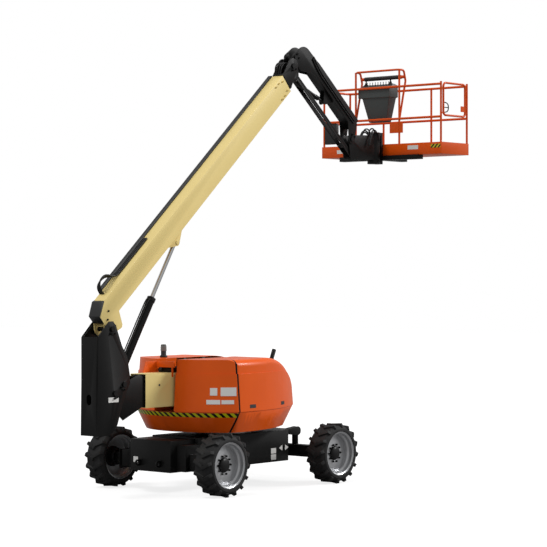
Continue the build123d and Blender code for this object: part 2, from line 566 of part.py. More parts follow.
# ---------------------------------------------------------------- platform
sup = Pos(RX, 0, 4895) * Cylinder(100, 59.7, align=(C, C, LOW))
sup += Pos(RX, 0, 5345.3) * Cylinder(100, 60, align=(C, C, LOW))
sup += block(RX, PLATFORM_X - 20, -60, 60, 4895, 4950)
sup += block(PLATFORM_X - 60, PLATFORM_X - 14, -60, 60, 4895, 5405)
sup += block(RX, PLATFORM_X - 14, -60, 60, 5350, 5405)
sup += block(PLATFORM_X - 60, PLATFORM_X + 80, -800, 800, 4960, PLATFORM_Z - 0.3)
sup += block(PLATFORM_X - 60, PLATFORM_X + 650, -60, 60, 4960, PLATFORM_Z - 0.3)
save("platform_support", sup)
far_x = PLATFORM_X + PLATFORM_DEPTH
hy = PLATFORM_WIDTH / 2
floor = block(PLATFORM_X, far_x, -hy, hy, PLATFORM_Z, PLATFORM_Z + 12)
toe = block(PLATFORM_X, far_x, -hy, hy, PLATFORM_Z + 12, PLATFORM_Z + TOE_BOARD)
toe -= block(PLATFORM_X + 4, far_x - 4, -hy + 4, hy - 4, PLATFORM_Z, PLATFORM_Z + TOE_BOARD + 1)
save("platform_floor", floor + toe)
t = RAIL_TUBE / 2
POST_R = 17
BEND = 90
x0, x1, y0, y1 = PLATFORM_X + t, far_x - t, -hy + t, hy - t
TOP_Z = PLATFORM_Z + TOP_RAIL - t
MID_Z = PLATFORM_Z + MID_RAIL


def tube_along(points, radius, bend):
    """A round tube along corners that are bent to one radius."""
    path = FilletPolyline(*points, radius=bend)
    return sweep(Plane(path @ 0, z_dir=path % 0) * Circle(radius), path=path)


loops = [[(x0, y0, z), (x0, y1, z), (x1, y1, z), (x1, y0, z)] for z in (MID_Z, TOP_Z)]
rails = fused(*[tube_along(loop, t, BEND) for loop in loops])
HOOP_Z = 6417                    # middle of the hoop's tube over the console
HOOP_LOW, HOOP_HIGH = -370, 520
POSTS = [
    # x, y, top
    (x0, y0 + 4, TOP_Z + 40), (x0, HOOP_LOW, HOOP_Z), (x0, HOOP_HIGH, HOOP_Z), (x0 + 8, y1 - 8, TOP_Z),
    (x1, y0 + 4, TOP_Z + 40), (x1, -490, TOP_Z), (x1, 490, TOP_Z), (x1 - 8, y1 - 8, TOP_Z),
]
for x, y, top in POSTS:
    rails += bar((x, y, PLATFORM_Z + TOE_BOARD + SEAT), (x, y, top), POST_R)
hoop = [(x0 + 6, MID_Z), (x0 + 168, HOOP_Z - 170), (x0 + 120, HOOP_Z), (x0 - 6, HOOP_Z)]
hoop_path = [(x, HOOP_LOW, z) for x, z in hoop] + [(x, HOOP_HIGH, z) for x, z in reversed(hoop)]
rails += tube_along(hoop_path, t - 2, 60)
rails += bar((x0 + 150, HOOP_LOW, HOOP_Z - 105), (x0 + 150, HOOP_HIGH, HOOP_Z - 105), 26)
rails += block(x0 - 6, x0 + 6, -440, -180, 5395, 5560)
gx0, gx1 = x0 + 60, x1 - 60
for z in (MID_Z + 60, TOP_Z - 60):
    rails += block(x0, gx0 - POST_R - SEAT, y0 - 6, y0 + 6, z - 12, z + 12)
save("platform_rails", rails)
GATE_BEND = 60
gate_loop = [(gx0, y0, MID_Z + 25), (gx1, y0, MID_Z + 25), (gx1, y0, TOP_Z + 20), (gx0, y0, TOP_Z + 20)]
gate_path = FilletPolyline(*gate_loop, radius=GATE_BEND, close=True)
gate = sweep(Plane(gate_path @ 0, z_dir=gate_path % 0) * Circle(POST_R), path=gate_path)
gate += block(gx1 - 110, gx1 - POST_R + 4, y0 - 8, y0 + 8, MID_Z + 100, MID_Z + 190)
save("platform_gate", gate)
CONSOLE_LOW, CONSOLE_HIGH = -150, 490
tray = [(x0 + t + SEAT, 5990), (x0 + t + SEAT, 6150), (x0 + 160, 6215), (x0 + 262, 6190), (x0 + 262, 5990)]
console = side_plate(tray, CONSOLE_LOW, CONSOLE_HIGH)
neck_top = Plane.XY.offset(5991) * Pos(x0 + 140, 147) * Rectangle(200, 555)
neck_low = Plane.XY.offset(5590) * Pos(x0 + 130, 120) * Rectangle(130, 360)
console += loft([neck_low.face(), neck_top.face()], ruled=True)
save("console", console)
manual = block(x0 - 4, x0 + 62, 925, y1 - 8 - POST_R - SEAT, 5262, MID_Z - t - SEAT)
save("manual_box", manual)

# ---------------------------------------------------------------- write the pieces
os.makedirs("parts", exist_ok=True)
ORIGIN_X = (REAR_X + far_x) / 2
for name, piece in NODES.items():
    export_step(Pos(-ORIGIN_X, 0, 0) * piece, f"parts/{name}.step")
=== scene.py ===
import json
import math

import bpy
from mathutils import Matrix, Vector


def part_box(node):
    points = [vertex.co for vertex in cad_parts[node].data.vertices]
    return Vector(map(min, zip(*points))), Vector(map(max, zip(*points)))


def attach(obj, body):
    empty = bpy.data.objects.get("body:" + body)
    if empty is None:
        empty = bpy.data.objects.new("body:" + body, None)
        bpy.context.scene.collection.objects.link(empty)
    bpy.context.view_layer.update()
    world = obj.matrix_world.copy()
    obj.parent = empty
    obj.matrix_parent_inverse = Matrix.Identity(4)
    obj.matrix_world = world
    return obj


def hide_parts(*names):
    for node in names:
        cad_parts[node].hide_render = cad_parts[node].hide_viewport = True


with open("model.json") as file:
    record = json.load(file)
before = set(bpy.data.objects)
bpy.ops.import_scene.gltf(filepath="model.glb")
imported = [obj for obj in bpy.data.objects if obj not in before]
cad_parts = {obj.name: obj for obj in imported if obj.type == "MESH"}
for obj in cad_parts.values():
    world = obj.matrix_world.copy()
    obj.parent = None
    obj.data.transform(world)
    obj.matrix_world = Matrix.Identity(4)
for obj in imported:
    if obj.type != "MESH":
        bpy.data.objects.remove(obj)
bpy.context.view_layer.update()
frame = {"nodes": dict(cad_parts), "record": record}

# ---------------------------------------------------------------- tyres
# Foam-filled off-road tyres of black natural rubber, moulded with one slanted lug at each pitch.
# They are pressed over the rims' flanges. The rubber is dull, with pale dust in its low places.


def linear(colour):
    """An sRGB hex colour as the linear RGBA that a shader's socket takes."""
    values = [int(colour[i:i + 2], 16) / 255 for i in (1, 3, 5)]
    return [v / 12.92 if v <= 0.04045 else ((v + 0.055) / 1.055) ** 2.4 for v in values] + [1.0]


def add_node(tree, kind, settings=None, inputs=None):
    """A node of one kind with its settings, and its inputs given a value or linked to another socket."""
    made = tree.nodes.new(kind)
    for name, value in (settings or {}).items():
        setattr(made, name, value)
    for name, value in (inputs or {}).items():
        if isinstance(value, bpy.types.NodeSocket):
            tree.links.new(value, made.inputs[name])
        else:
            made.inputs[name].default_value = value
    return made


def new_material(name, **constants):
    """A material with its shader's plain values set on the shader itself."""
    material = bpy.data.materials.new(name)
    material.use_nodes = True
    shader = material.node_tree.nodes["Principled BSDF"]
    for socket, value in constants.items():
        shader.inputs[socket.replace("_", " ")].default_value = value
    return material, material.node_tree, shader


def moulded_rubber():
    """Black vulcanised rubber: a dull grain, drawn 4 mm across so that it shows, and dust in patches."""
    material, tree, shader = new_material("moulded tyre rubber", IOR=1.52, Specular_IOR_Level=0.35)
    place = add_node(tree, "ShaderNodeTexCoord").outputs["Object"]
    grain = add_node(tree, "ShaderNodeTexNoise", inputs={"Vector": place, "Scale": 1 / 0.004, "Detail": 3.0})
    patches = add_node(tree, "ShaderNodeTexNoise", inputs={"Vector": place, "Scale": 1 / 0.16, "Detail": 5.0})
    dusty = {"Value": patches.outputs["Fac"], "From Min": 0.45, "From Max": 0.75}
    dust = add_node(tree, "ShaderNodeMapRange", inputs=dusty)
    colour = add_node(tree, "ShaderNodeMix", {"data_type": "RGBA"}, {"Factor": dust.outputs["Result"]})
    colour.inputs["A"].default_value = linear("#111112")
    colour.inputs["B"].default_value = linear("#1D1C1B")
    tree.links.new(colour.outputs["Result"], shader.inputs["Base Color"])
    dull = {"Value": grain.outputs["Fac"], "To Min": 0.62, "To Max": 0.85}
    rough = add_node(tree, "ShaderNodeMapRange", inputs=dull)
    tree.links.new(rough.outputs["Result"], shader.inputs["Roughness"])
    grit = {"Height": grain.outputs["Fac"], "Strength": 0.4, "Distance": 0.0012}
    bump = add_node(tree, "ShaderNodeBump", inputs=grit)
    tree.links.new(bump.outputs["Normal"], shader.inputs["Normal"])
    return material


def select_only(piece):
    """Makes one piece the only selected one and the active one."""
    bpy.ops.object.select_all(action="DESELECT")
    piece.select_set(True)
    bpy.context.view_layer.objects.active = piece


def copy_of(piece):
    """A copy with a mesh of its own, put in the scene."""
    copy = piece.copy()
    copy.data = piece.data.copy()
    bpy.context.collection.objects.link(copy)
    return copy


def shaped_by(piece, name, kind, **settings):
    """Gives the active piece one modifier with its settings, and applies it."""
    modifier = piece.modifiers.new(name, kind)
    for setting, value in settings.items():
        setattr(modifier, setting, value)
    bpy.ops.object.modifier_apply(modifier=modifier.name)


record = frame["record"]
body_of = {node: body for body, nodes in record["behaviour"]["bodies"].items() for node in nodes}
loose_corners = 0.00004
flat_turn = math.radians(0.4)
smooth_turn = 36


def dressed(node, finish, edge=0.003, crease=38):
    """A node's own shape with its loose corners joined, its sharp edges rounded and its finish on."""
    piece = copy_of(frame["nodes"][node])
    piece.name = node + "_finished"
    piece.data.materials.clear()
    piece.data.materials.append(finish)
    select_only(piece)
    bpy.ops.mesh.customdata_custom_splitnormals_clear()
    bpy.ops.object.mode_set(mode="EDIT")
    bpy.ops.mesh.select_all(action="SELECT")
    bpy.ops.mesh.remove_doubles(threshold=loose_corners)
    bpy.ops.mesh.dissolve_limited(angle_limit=flat_turn)
    bpy.ops.object.mode_set(mode="OBJECT")
    if edge:
        sharp = math.radians(crease)
        round_off = {"width": edge, "segments": 2, "limit_method": "ANGLE", "angle_limit": sharp}
        shaped_by(piece, "rounded edges", "BEVEL", **round_off)
    bpy.ops.object.shade_smooth_by_angle(angle=math.radians(smooth_turn))
    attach(piece, body_of[node])
    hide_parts(node)
    return piece


corners = ("front_near", "front_far", "rear_near", "rear_far")
rubber = moulded_rubber()
for corner in corners:
    dressed("tyre_" + corner, rubber, edge=0.005)

# ---------------------------------------------------------------- rims, hubs and wheel nuts
# Rims rolled and welded from steel, sprayed silver. Each is held to a cast hub, painted black, by a
# ring of nuts. The silver's flakes give it a soft metallic sheen.


def sprayed_paint(name, colour, deeper, rough=0.34, coat=0.35, metallic=0.0, peel=0.0006):
    """Two-pack paint: a colour that drifts a little, a clear gloss, and a faint orange peel 9 mm across."""
    gloss = {"Coat_Weight": coat, "Coat_Roughness": 0.12, "Specular_IOR_Level": 0.2}
    material, tree, shader = new_material(name, IOR=1.5, Metallic=metallic, **gloss)
    place = add_node(tree, "ShaderNodeTexCoord").outputs["Object"]
    drift = add_node(tree, "ShaderNodeTexNoise", inputs={"Vector": place, "Scale": 1 / 0.45, "Detail": 4.0})
    mix = add_node(tree, "ShaderNodeMix", {"data_type": "RGBA"}, {"Factor": drift.outputs["Fac"]})
    mix.inputs["A"].default_value = linear(colour)
    mix.inputs["B"].default_value = linear(deeper)
    tree.links.new(mix.outputs["Result"], shader.inputs["Base Color"])
    haze = add_node(tree, "ShaderNodeTexNoise", inputs={"Vector": place, "Scale": 1 / 0.09, "Detail": 6.0})
    hazy = {"Value": haze.outputs["Fac"], "To Min": rough - 0.06, "To Max": rough + 0.08}
    dull = add_node(tree, "ShaderNodeMapRange", inputs=hazy)
    tree.links.new(dull.outputs["Result"], shader.inputs["Roughness"])
    skin = add_node(tree, "ShaderNodeTexNoise", inputs={"Vector": place, "Scale": 1 / 0.009, "Detail": 2.0})
    peeled = {"Height": skin.outputs["Fac"], "Strength": 0.012, "Distance": peel}
    bump = add_node(tree, "ShaderNodeBump", inputs=peeled)
    tree.links.new(bump.outputs["Normal"], shader.inputs["Normal"])
    return material


def middle(node):
    """The middle of a node's box at rest."""
    low, high = (Vector(v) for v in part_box(node))
    return (low + high) / 2


def turned_on_y(piece):
    """Lays a piece that was made upright along the machine's width."""
    piece.data.transform(Matrix.Rotation(math.radians(90), 4, "X"))


def settle(piece, where=(0, 0, 0)):
    """Moves a piece's place into its mesh, so that its object sits at the origin."""
    piece.data.transform(Matrix.Translation(Vector(where)) @ piece.matrix_world)
    piece.matrix_world = Matrix.Identity(4)


def finish_piece(piece, name, material, body, smooth=smooth_turn):
    """Names a new piece, gives it its finish and smooth shading, and puts it on its body."""
    piece.name = name
    piece.data.materials.clear()
    piece.data.materials.append(material)
    select_only(piece)
    bpy.ops.object.shade_smooth_by_angle(angle=math.radians(smooth))
    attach(piece, body)
    return piece


def edit_faces(piece, chosen):
    """Opens the active piece in edit mode with only its chosen faces selected."""
    bpy.ops.object.mode_set(mode="EDIT")
    bpy.ops.mesh.select_mode(type="FACE")
    bpy.ops.mesh.select_all(action="DESELECT")
    bpy.ops.object.mode_set(mode="OBJECT")
    for face in piece.data.polygons:
        face.select = chosen(face)
    bpy.ops.object.mode_set(mode="EDIT")


def looks_up(face):
    """Whether a face is level and faces upwards."""
    return face.normal.z > 0.9


def joined(pieces):
    """Several pieces made one, on the first of them."""
    bpy.ops.object.select_all(action="DESELECT")
    for piece in pieces:
        piece.select_set(True)
    bpy.context.view_layer.objects.active = pieces[0]
    bpy.ops.object.join()
    return bpy.context.object


def hexagon_nut(across, height):
    """A chamfered nut standing on the XY plane: a six-sided prism whose top ring is drawn in, then domed."""
    middle_z = (0, 0, height / 2)
    bpy.ops.mesh.primitive_cylinder_add(vertices=6, radius=across / 2, depth=height, location=middle_z)
    nut = bpy.context.object
    settle(nut)
    edit_faces(nut, looks_up)
    bpy.ops.mesh.bevel(offset=across * 0.06, segments=1)
    bpy.ops.mesh.inset(thickness=across * 0.14)
    bpy.ops.mesh.extrude_region_move(TRANSFORM_OT_translate={"value": (0, 0, height * 0.35)})
    bpy.ops.object.mode_set(mode="OBJECT")
    return nut


def ring_of(first, count, radius):
    """One made piece copied round a circle in the XY plane and joined."""
    copies = []
    for i in range(count):
        copy = copy_of(first)
        turn = Matrix.Rotation(2 * math.pi * i / count, 4, "Z")
        copy.data.transform(turn @ Matrix.Translation(Vector((radius, 0, 0))))
        copies.append(copy)
    bpy.data.objects.remove(first)
    return joined(copies)


silver = sprayed_paint("silver wheel paint", "#B9BABC", "#AEAFB1", rough=0.3, coat=0.2, metallic=0.75)
black = sprayed_paint("black chassis paint", "#101010", "#0B0B0B", rough=0.44, coat=0.04)
nut_count = 10
nut_circle = 0.13
nut_across, nut_height = 0.03, 0.016
wheel_disc = 0.0405     # how far the disc that the nuts sit on stands out from the rim's middle
for corner in corners:
    dressed("rim_" + corner, silver, edge=0.0025)
    dressed("hub_" + corner, black, edge=0.004)
    outward = -1 if "near" in corner else 1
    rim_middle = middle("rim_" + corner)
    nuts = ring_of(hexagon_nut(nut_across, nut_height), nut_count, nut_circle)
    turned_on_y(nuts)
    if outward > 0:
        nuts.data.transform(Matrix.Rotation(math.pi, 4, "Z"))
    settle(nuts, (rim_middle.x, rim_middle.y + outward * wheel_disc, rim_middle.z))
    finish_piece(nuts, "wheel_nuts_" + corner, black, "wheel_" + corner)

# ---------------------------------------------------------------- chassis, axles and steering
# A box frame welded from plate, with a fixed axle at the tower end and a steered axle at the other, all
# sprayed satin black after welding. The slewing bearing's machined steel stays bare, with a dull shine.
welded_frame = ("chassis_frame", "fixed_axle", "steer_axle", "lockout_cylinders")
steering = ("steer_knuckle_near", "steer_knuckle_far", "tie_rod")
for node in welded_frame + steering + ("tie_down_eyes",):
    dressed(node, black, edge=0.004)
bearing_steel = {"Metallic": 1.0, "Roughness": 0.33, "Base_Color": linear("#8E8C88")}
machined, _, _ = new_material("machined bearing steel", **bearing_steel)
dressed("slew_ring", machined, edge=0.002)

# ---------------------------------------------------------------- turntable
# The deck and the slot's side plates are welded from plate and sprayed satin black. The counterweight
# and the engine's block on it are cast iron, with a duller, rougher enamel.
orange = sprayed_paint("orange machine paint", "#E45B0E", "#D8530A", rough=0.34, coat=0.05)
cast = sprayed_paint("black enamel on cast iron", "#121212", "#0C0C0C", rough=0.52, coat=0.02, peel=0.0016)
dressed("turntable_deck", black, edge=0.003)
for node in ("counterweight", "engine_block"):
    dressed(node, cast, edge=0.012)

# ---------------------------------------------------------------- covers
# Two corner covers, two hood doors and the skirt below them, moulded and sprayed orange. The edges that meet
# at the seam are painted black as shade in the gap between them, and a hazard band runs round the skirt's
# tower end.


def cover_paint(name, marks):
    """The covers' orange, with black wherever one of the marks, made on its axes, is 1."""
    material = orange.copy()
    material.name = name
    tree = material.node_tree
    shader = tree.nodes["Principled BSDF"]
    place = add_node(tree, "ShaderNodeTexCoord").outputs["Object"]
    axes = add_node(tree, "ShaderNodeSeparateXYZ", inputs={"Vector": place}).outputs
    colour = shader.inputs["Base Color"].links[0].from_socket
    for mask, shade in marks(tree, axes):
        over = add_node(tree, "ShaderNodeMix", {"data_type": "RGBA"}, {"Factor": mask})
        tree.links.new(colour, over.inputs["A"])
        if isinstance(shade, bpy.types.NodeSocket):
            tree.links.new(shade, over.inputs["B"])
        else:
            over.inputs["B"].default_value = linear(shade)
        colour = over.outputs["Result"]
    tree.links.new(colour, shader.inputs["Base Color"])
    return material


axis_x = middle("slew_ring").x
seam_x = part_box("hood_door_near")[0][0]
band_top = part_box("turntable_skirt")[1][2]
band_low = band_top - 0.07
band_edge = 0.004
band_radius = 1.25
stripe_pitch = 0.107
black_starts = 0.52
# Painted shade: 11 mm to either side of the seam is black, standing for the shadow in the gap between the
# covers.
seam_shade_width = 0.011
seam_shade_black = "#070707"
stripe_yellow, stripe_black = "#BDBD10", "#0A0A0A"


def seam_shade(tree, axes):
    """Painted shade: black on the edges that meet at the seam, standing for the shadow in the gap between the
    covers.
    """
    at_seam = add_node(tree, "ShaderNodeMath", {"operation": "COMPARE"}, {0: axes["X"], 1: seam_x, 2: seam_shade_width})
    return [(at_seam.outputs[0], seam_shade_black)]


def skirt_marks(tree, axes):
    """A hazard band round the tower end, and the painted shade of the seam's gap on the skirt."""
    ahead = add_node(tree, "ShaderNodeMath", {"operation": "SUBTRACT"}, {0: axis_x, 1: axes["X"]}).outputs[0]
    angle = add_node(tree, "ShaderNodeMath", {"operation": "ARCTAN2"}, {0: axes["Y"], 1: ahead}).outputs[0]
    along = add_node(tree, "ShaderNodeMath", {"operation": "MULTIPLY"}, {0: angle, 1: band_radius}).outputs[0]
    slant = add_node(tree, "ShaderNodeMath", {"operation": "SUBTRACT"}, {0: axes["Z"], 1: along}).outputs[0]
    turns = add_node(tree, "ShaderNodeMath", {"operation": "DIVIDE"}, {0: slant, 1: stripe_pitch}).outputs[0]
    part = add_node(tree, "ShaderNodeMath", {"operation": "FRACT"}, {0: turns}).outputs[0]
    is_black = add_node(tree, "ShaderNodeMath", {"operation": "GREATER_THAN"}, {0: part, 1: black_starts})
    stripes = add_node(tree, "ShaderNodeMix", {"data_type": "RGBA"}, {"Factor": is_black.outputs[0]})
    stripes.inputs["A"].default_value = linear(stripe_yellow)
    stripes.inputs["B"].default_value = linear(stripe_black)
    band = {0: axes["Z"], 1: (band_top + band_low) / 2, 2: (band_top - band_low) / 2 - band_edge}
    in_band = add_node(tree, "ShaderNodeMath", {"operation": "COMPARE"}, band)
    return [(in_band.outputs[0], stripes.outputs["Result"])] + seam_shade(tree, axes)


# The covers' orange carries the painted shade of the seam's gap as a black band.
cover_orange = cover_paint("orange moulded cover", seam_shade)
cover_nodes = ("hood_door_near", "hood_door_far", "corner_cover_near", "corner_cover_far")
covers = {node: dressed(node, cover_orange, edge=0.002, crease=60) for node in cover_nodes}


def even_gloss(piece):
    """Lets the broad faces of a moulding set its shading, so that it shines as one smooth skin."""
    select_only(piece)
    shaped_by(piece, "even gloss", "WEIGHTED_NORMAL", mode="FACE_AREA", weight=80, keep_sharp=True)
    return piece


for cover in covers.values():
    even_gloss(cover)
skirt_orange = cover_paint("orange skirt with hazard band", skirt_marks)
skirt = dressed("turntable_skirt", skirt_orange, edge=0.002, crease=60)
# Inside the skirt, the ears and the pin at the tower cylinder's foot are black.
skirt.data.materials.append(black)
ears_within, ears_half = 1.02, 0.08     # from the slew axis, and to either side
for face in skirt.data.polygons:
    from_axis = Vector((face.center.x - axis_x, face.center.y)).length
    if from_axis < ears_within and abs(face.center.y) < ears_half:
        face.material_index = 1

# ---------------------------------------------------------------- lower panels of the covers
# The lower part of each cover stands 14 mm proud, moulded in one with it and sprayed the same orange,
# with a soft edge all round. Its upper edge runs level past the seam and then falls with the tail.
panel_step, panel_edge = 0.014, 0.006
above_band = 0.012


def pressed_panel(node, top_edge):
    """The outer skin of a cover below its upper edge, a line of (x, z) points that bends one way."""
    panel = copy_of(covers[node])
    select_only(panel)

    def looks_in(face):
        """Whether a face turns away from the outside, seen from the slew axis."""
        out = Vector((face.center.x - axis_x, face.center.y, 0)).normalized()
        return face.normal.dot(out) < 0.25

    edit_faces(panel, looks_in)
    bpy.ops.mesh.delete(type="FACE")
    for (x0, z0), (x1, z1) in zip(top_edge, top_edge[1:]):
        normal = Vector((z0 - z1, 0, x1 - x0)).normalized()
        bpy.ops.mesh.select_all(action="SELECT")
        bpy.ops.mesh.bisect(plane_co=(x0, 0, z0), plane_no=normal, clear_outer=True)
    bpy.ops.mesh.select_all(action="SELECT")
    bpy.ops.mesh.bisect(plane_co=(0, 0, band_top + above_band), plane_no=(0, 0, 1), clear_inner=True)
    bpy.ops.object.mode_set(mode="OBJECT")
    shaped_by(panel, "skin", "SOLIDIFY", thickness=panel_step, offset=1)
    soften = {"width": panel_edge, "segments": 2, "limit_method": "ANGLE", "angle_limit": math.radians(60)}
    shaped_by(panel, "soft edge", "BEVEL", **soften)
    return even_gloss(finish_piece(panel, node + "_panel", cover_orange, body_of[node]))


level_z = 1.705
ahead_of_seam = -2.4
tail = ((0.35, level_z), (0.62, 1.665), (0.82, 1.56), (0.98, 1.39), (1.1, 1.16))    # (past the axis, height)
falling = [(ahead_of_seam, level_z)] + [(axis_x + x, z) for x, z in tail]
panels = {}
for side in ("near", "far"):
    panels["corner_cover_" + side] = pressed_panel("corner_cover_" + side, falling[:2])
    panels["hood_door_" + side] = pressed_panel("hood_door_" + side, falling)

# ---------------------------------------------------------------- blank labels on the covers
# Printed vinyl, stuck on flat or round the cover. They are left blank, as plain white patches.
vinyl, _, _ = new_material("white printed vinyl", Roughness=0.45, Base_Color=linear("#DAD9D6"))
vinyl_thickness = 0.0015
press_from = 0.1        # how far off a piece a patch starts before it is pressed on


def label(name, centre, facing, size, body, over=None, finish=vinyl):
    """A thin patch at a place, turned to face one way, and pressed onto the piece under it."""
    bpy.ops.object.select_all(action="DESELECT")
    bpy.ops.mesh.primitive_grid_add(x_subdivisions=14, y_subdivisions=4, size=1)
    patch = bpy.context.object
    patch.data.transform(Matrix.Diagonal((size[0], size[1], 1, 1)))
    toward = Vector(facing).normalized()
    across = Vector((0, 0, 1)).cross(toward).normalized()
    up = toward.cross(across)
    turn = Matrix((across, up, toward)).transposed().to_4x4()
    if over:
        patch.matrix_world = Matrix.Translation(Vector(centre) + toward * press_from) @ turn
        shaped_by(
            patch, "pressed on", "SHRINKWRAP", target=over, wrap_method="PROJECT", use_project_z=True,
            use_negative_direction=True, use_positive_direction=False, offset=vinyl_thickness,
        )
    else:
        patch.matrix_world = Matrix.Translation(Vector(centre)) @ turn
    shaped_by(patch, "thickness", "SOLIDIFY", thickness=vinyl_thickness, offset=1)
    settle(patch)
    return finish_piece(patch, name, finish, body)


cover_labels = (        # (degrees round from the side, height of the middle, width, height)
    (54.6, 1.454, 0.105, 0.107),
    (45.1, 1.454, 0.225, 0.122),
    (54.8, 1.307, 0.2, 0.064),
    (45.6, 1.307, 0.18, 0.057),
)
cover_radius = 1.27
for i, (turn, z, *size) in enumerate(cover_labels):
    out = Vector((-math.sin(math.radians(turn)), -math.cos(math.radians(turn)), 0))
    centre = Vector((axis_x, 0, z)) + out * cover_radius
    cover = "corner_cover_near"
    label(f"cover_label_{i}", centre, out, size, body_of[cover], panels[cover])

# ---------------------------------------------------------------- beacon, exhaust and ground control box
# Small fittings, each bolted on: a beacon's plastic base, a steel exhaust pipe painted black, and a
# moulded switch box on the turntable's far side.


def moulded_plastic(name, colour, rough=0.5):
    """Injection-moulded ABS with a spark-eroded grain, drawn 2 mm across so that it shows."""
    material, tree, shader = new_material(name, IOR=1.53, Base_Color=linear(colour))
    place = add_node(tree, "ShaderNodeTexCoord").outputs["Object"]
    grain = add_node(tree, "ShaderNodeTexNoise", inputs={"Vector": place, "Scale": 1 / 0.002, "Detail": 2.0})
    eroded = {"Value": grain.outputs["Fac"], "To Min": rough - 0.07, "To Max": rough + 0.1}
    dull = add_node(tree, "ShaderNodeMapRange", inputs=eroded)
    tree.links.new(dull.outputs["Result"], shader.inputs["Roughness"])
    grainy = {"Height": grain.outputs["Fac"], "Strength": 0.3, "Distance": 0.0006}
    bump = add_node(tree, "ShaderNodeBump", inputs=grainy)
    tree.links.new(bump.outputs["Normal"], shader.inputs["Normal"])
    return material


dark_plastic = moulded_plastic("dark moulded plastic", "#131414")
dressed("beacon", dark_plastic, edge=0.006)
dressed("exhaust_stack", black, edge=0.002)
dressed("ground_control_box", dark_plastic, edge=0.012)

# ---------------------------------------------------------------- tower boom
# Two square tubes that slide in each other, welded from high-tensile plate and sprayed cream. The
# outer one carries an orange guard over its open end.
cream = sprayed_paint("cream boom paint", "#EDD68F", "#E6CE86", rough=0.38, coat=0.15)
tower = dressed("tower_base_boom", cream, edge=0.004)
dressed("tower_fly_boom", black, edge=0.004)
nylon = moulded_plastic("black nylon", "#17171A", rough=0.42)
dressed("tower_wear_pads", nylon, edge=0.003)
tower.data.materials.append(orange)
tube_side, tube_top = 0.1505, 1.7165
guard_end = -1.9
for face in tower.data.polygons:
    beside_mouth = abs(face.center.y) > tube_side and face.center.x < guard_end
    if face.center.z > tube_top or beside_mouth:
        face.material_index = 1

# ---------------------------------------------------------------- upright
# The tall carrier between the tower boom and the main boom: two steel plates joined by a rear web,
# welded and sprayed satin black.
dressed("upright", black, edge=0.004)

# ---------------------------------------------------------------- main boom and fly boom
# The long tubes of the upper boom: cream outside, with a black end cover, a nylon-lined mouth and a
# plastic track for hoses along the far side.
dressed("main_boom", cream, edge=0.005)
dressed("fly_boom", cream, edge=0.004)
dressed("boom_wear_pads", nylon, edge=0.003)
dressed("boom_end_cover", dark_plastic, edge=0.008)
dressed("cable_track", dark_plastic, edge=0.004)
dressed("fly_nose", black, edge=0.004)

# ---------------------------------------------------------------- lift cylinders
# Steel barrels painted black, with rods chromed and ground to a mirror, and eyes welded on at both
# ends. The jib's rod is painted.


def ground_chrome():
    """Hard chrome: bright, with the fine marks of grinding drawn 3 mm across so that they show."""
    material, tree, shader = new_material("ground hard chrome", Metallic=1.0, Base_Color=linear("#D4D5D6"))
    place = add_node(tree, "ShaderNodeTexCoord").outputs["Object"]
    rings = add_node(tree, "ShaderNodeTexNoise", inputs={"Vector": place, "Scale": 1 / 0.003, "Detail": 1.0})
    ground = {"Value": rings.outputs["Fac"], "To Min": 0.1, "To Max": 0.24}
    gloss = add_node(tree, "ShaderNodeMapRange", inputs=ground)
    tree.links.new(gloss.outputs["Result"], shader.inputs["Roughness"])
    return material


chrome = ground_chrome()
for place in ("main", "tower", "jib"):
    dressed(place + "_lift_barrel", black, edge=0.003)
    dressed(place + "_lift_rod", chrome if place != "jib" else black, edge=0.003)

# ---------------------------------------------------------------- knuckle, jib and rotator
# The jib's box and its levelling link between two sets of lobed plates, with the rotator and the
# platform's support at the end. All are welded steel, sprayed satin black.
for node in ("knuckle", "jib_boom", "jib_link", "rotator_head", "platform_support"):
    dressed(node, black, edge=0.004)

# ---------------------------------------------------------------- platform
# A tubular steel basket on a plate floor with a toe board, sprayed orange. The console is a moulded
# tray on a tapered neck, and a moulded box for papers hangs from the mid rail.
basket_orange = sprayed_paint("orange platform paint", "#DE540C", "#D24D09", rough=0.36, coat=0.1)
dressed("platform_floor", basket_orange, edge=0.003)
dressed("platform_rails", basket_orange, edge=0)
dressed("platform_gate", basket_orange, edge=0)
grey_plastic = moulded_plastic("grey moulded console", "#3C403F", rough=0.45)
dressed("console", grey_plastic, edge=0.012)
dressed("manual_box", dark_plastic, edge=0.008)

# ---------------------------------------------------------------- pin ends, keeper plates and bolts
# Each pin is kept by a small plate at its end, with two bolts. Plates and bolts are painted with the
# piece that holds the pin.


def at(x, y, z):
    """A place in millimetres from the slew axis, as a point of the frame."""
    return Vector((axis_x + x / 1000, y / 1000, z / 1000))


